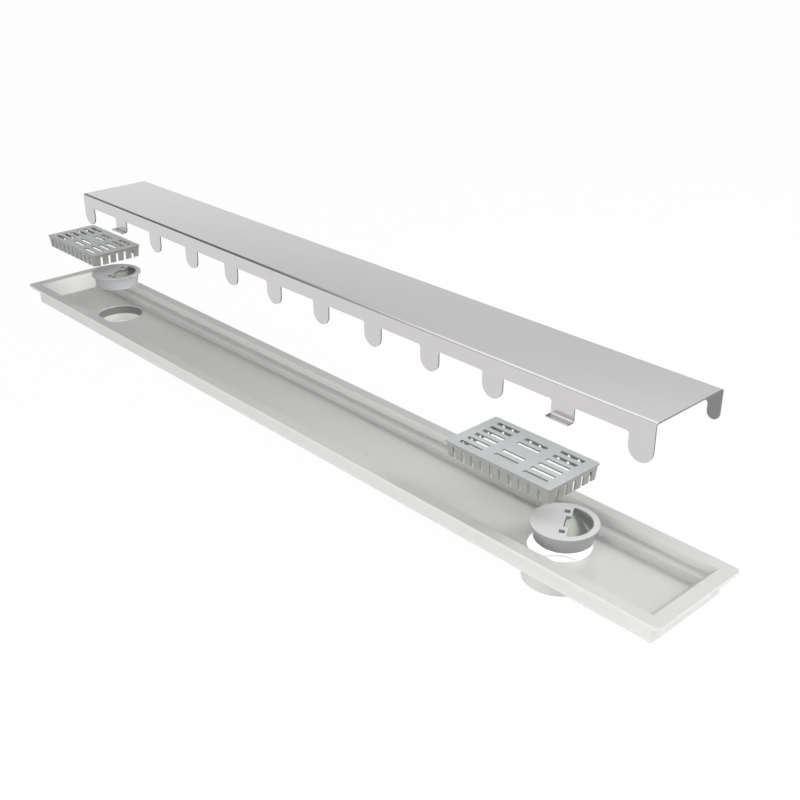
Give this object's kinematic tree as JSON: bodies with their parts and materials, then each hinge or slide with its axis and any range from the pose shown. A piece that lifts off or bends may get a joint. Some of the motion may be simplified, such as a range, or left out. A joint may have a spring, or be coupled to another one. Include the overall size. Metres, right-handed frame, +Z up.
{
  "type": "linear shower drain",
  "caption": "Long shower channel with two outlets, drawn apart: folded steel cover with tongues and footed clips, slotted strainers and tapered outlet valves with hinged flaps.",
  "frame": {"origin": "on the channel's upright middle axis, at the level of the lower end of the near outlet's socket", "axes": "+X along the channel towards the outlet with the deeper socket, +Y across it, +Z up"},
  "size_m": [0.9, 0.1, 0.1811],
  "materials": {
    "channel_plastic": "satin moulded",
    "cover_steel": "fine brushed along the length",
    "strainer_plastic": "semi-gloss moulded",
    "valve_plastic": "satin moulded",
    "flap_plastic": "satin moulded"
  },
  "bodies": {
    "drain": {"channel": "channel_plastic", "cover": "cover_steel", "strainer_far": "strainer_plastic", "strainer_near": "strainer_plastic", "valve_cup_far": "valve_plastic", "valve_cup_near": "valve_plastic"},
    "flap_far": {"valve_flap_far": "flap_plastic"},
    "flap_near": {"valve_flap_near": "flap_plastic"}
  },
  "joints": [
    {"name": "flap_far_hinge", "type": "hinge", "parent": "drain", "child": "flap_far", "pos_m": [-0.324, 0, 0.0757], "axis": [0.515, -0.8572, 0], "range_deg": [0, 35]},
    {"name": "flap_near_hinge", "type": "hinge", "parent": "drain", "child": "flap_near", "pos_m": [0.329, 0, 0.0459], "axis": [0.515, -0.8572, 0], "range_deg": [0, 35]}
  ]
}
